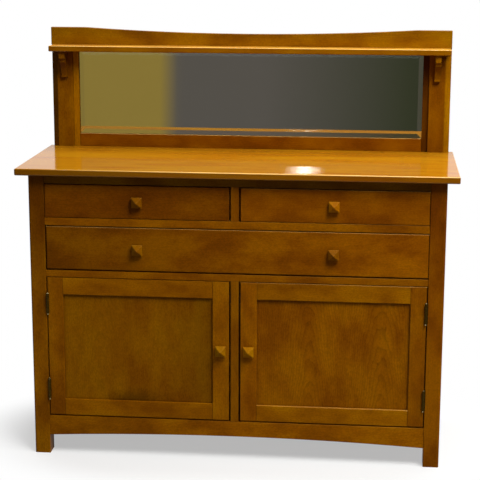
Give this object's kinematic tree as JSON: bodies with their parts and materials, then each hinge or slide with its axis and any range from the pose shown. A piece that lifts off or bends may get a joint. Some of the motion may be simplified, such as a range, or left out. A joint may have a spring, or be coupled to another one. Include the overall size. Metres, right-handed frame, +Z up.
{
  "type": "chiffonier",
  "caption": "Wooden chiffonier with inset drawers over a panelled cupboard, and a bevelled mirror gallery with a bracketed shelf and a dipped crest.",
  "frame": {"origin": "on the floor, under the middle of the top board", "axes": "+X to the viewer's right along the top board, +Y from the front to the back, +Z up"},
  "size_m": [1.338, 0.496, 1.307],
  "materials": {
    "stained_wood": "satin lacquer over amber stain",
    "drawer_wood": "sealed pale wood",
    "plain_wood": "unfinished board",
    "mirror": "silvered glass with a bevelled edge",
    "old_brass": "dark antique brass",
    "steel": "plain steel",
    "catch": "brown plastic with magnets"
  },
  "bodies": {
    "case": {"back_panel": "plain_wood", "back_rails": "plain_wood", "case_screws": "steel", "corbels": "stained_wood", "crest_rail": "stained_wood", "cupboard_floor": "stained_wood", "cupboard_shelf": "stained_wood", "door_catch": "catch", "door_mullion": "stained_wood", "drawer_divider": "stained_wood", "drawer_rail": "stained_wood", "drawer_runners": "plain_wood", "front_bottom_rail": "stained_wood", "front_leg_left": "stained_wood", "front_leg_right": "stained_wood", "front_top_rail": "stained_wood", "gallery_post_left": "stained_wood", "gallery_post_right": "stained_wood", "gallery_shelf": "stained_wood", "gallery_straps": "steel", "hinge_case_leaves": "old_brass", "hinge_pins": "old_brass", "middle_rail": "stained_wood", "mirror_backboard": "plain_wood", "mirror_glass": "mirror", "mirror_rails": "stained_wood", "mirror_stiles": "stained_wood", "rear_legs": "stained_wood", "shelf_cleats": "plain_wood", "side_panel_left": "stained_wood", "side_panel_right": "stained_wood", "side_rails": "stained_wood", "top_board": "stained_wood"},
    "left_drawer": {"left_drawer_back": "drawer_wood", "left_drawer_bottom": "drawer_wood", "left_drawer_front": "stained_wood", "left_drawer_knob": "stained_wood", "left_drawer_sides": "drawer_wood"},
    "right_drawer": {"right_drawer_back": "drawer_wood", "right_drawer_bottom": "drawer_wood", "right_drawer_front": "stained_wood", "right_drawer_knob": "stained_wood", "right_drawer_sides": "drawer_wood"},
    "long_drawer": {"long_drawer_back": "drawer_wood", "long_drawer_bottom": "drawer_wood", "long_drawer_front": "stained_wood", "long_drawer_knobs": "stained_wood", "long_drawer_sides": "drawer_wood"},
    "left_door": {"left_door_fixings": "steel", "left_door_hinge_leaves": "old_brass", "left_door_knob": "stained_wood", "left_door_panel": "stained_wood", "left_door_rails": "stained_wood", "left_door_stiles": "stained_wood"},
    "right_door": {"right_door_fixings": "steel", "right_door_hinge_leaves": "old_brass", "right_door_knob": "stained_wood", "right_door_panel": "stained_wood", "right_door_rails": "stained_wood", "right_door_stiles": "stained_wood"}
  },
  "joints": [
    {"name": "left_door_hinge", "type": "hinge", "parent": "case", "child": "left_door", "pos_m": [-0.5805, -0.2244, 0.34925], "axis": [0, 0, -1], "range_deg": [0, 170]},
    {"name": "right_door_hinge", "type": "hinge", "parent": "case", "child": "right_door", "pos_m": [0.5805, -0.2244, 0.34925], "axis": [0, 0, 1], "range_deg": [0, 170]},
    {"name": "left_drawer_slide", "type": "slide", "parent": "case", "child": "left_drawer", "axis": [0, -1, 0], "range_m": [0, 0.3]},
    {"name": "right_drawer_slide", "type": "slide", "parent": "case", "child": "right_drawer", "axis": [0, -1, 0], "range_m": [0, 0.3]},
    {"name": "long_drawer_slide", "type": "slide", "parent": "case", "child": "long_drawer", "axis": [0, -1, 0], "range_m": [0, 0.3]}
  ]
}
